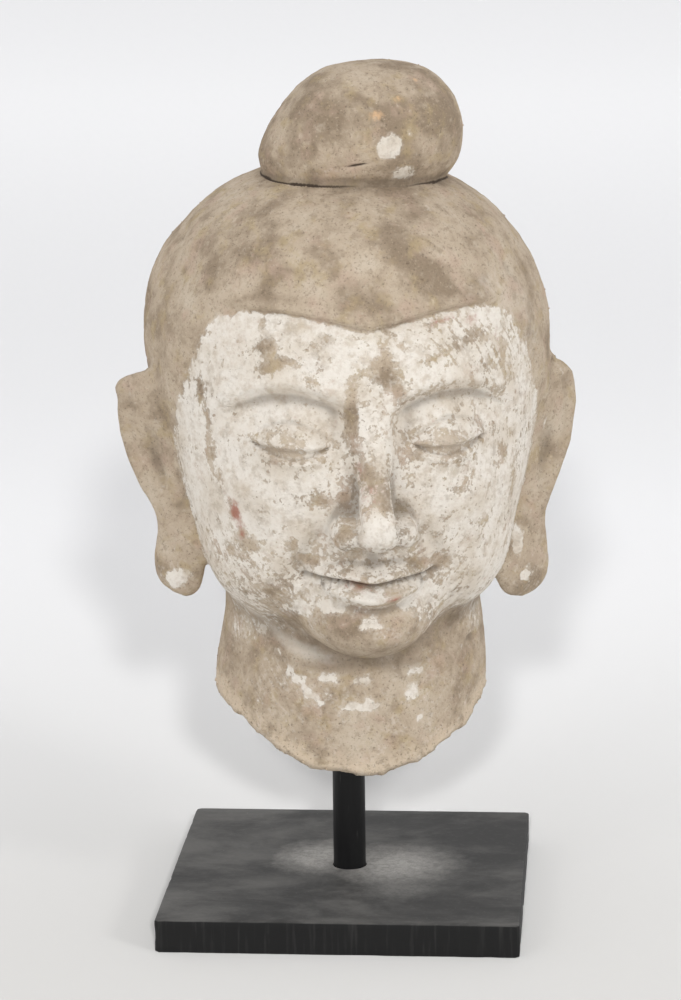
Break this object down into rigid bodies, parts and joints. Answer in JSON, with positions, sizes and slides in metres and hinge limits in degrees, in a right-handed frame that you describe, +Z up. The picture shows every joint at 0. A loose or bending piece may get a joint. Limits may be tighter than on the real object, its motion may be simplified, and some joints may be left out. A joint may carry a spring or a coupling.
{
  "type": "buddha head sculpture",
  "caption": "Fired-clay buddha head with a topknot and long lobed ears, broken at the neck and held on a round rod that stands in a square plate.",
  "frame": {"origin": "middle of the plate's underside, on the rod's axis", "axes": "+Z up along the rod, -Y out of the plate's front edge; the face looks 11 degrees from -Y towards +X"},
  "size_m": [0.1638, 0.1737, 0.3108],
  "materials": {
    "fired_clay": "unglazed buff clay with worn white slip",
    "black_steel": "satin black lacquer",
    "black_board": "flat black paint, dusty"
  },
  "bodies": {
    "root": {"head": "fired_clay", "rod": "black_steel", "base_plate": "black_board"}
  },
  "joints": []
}
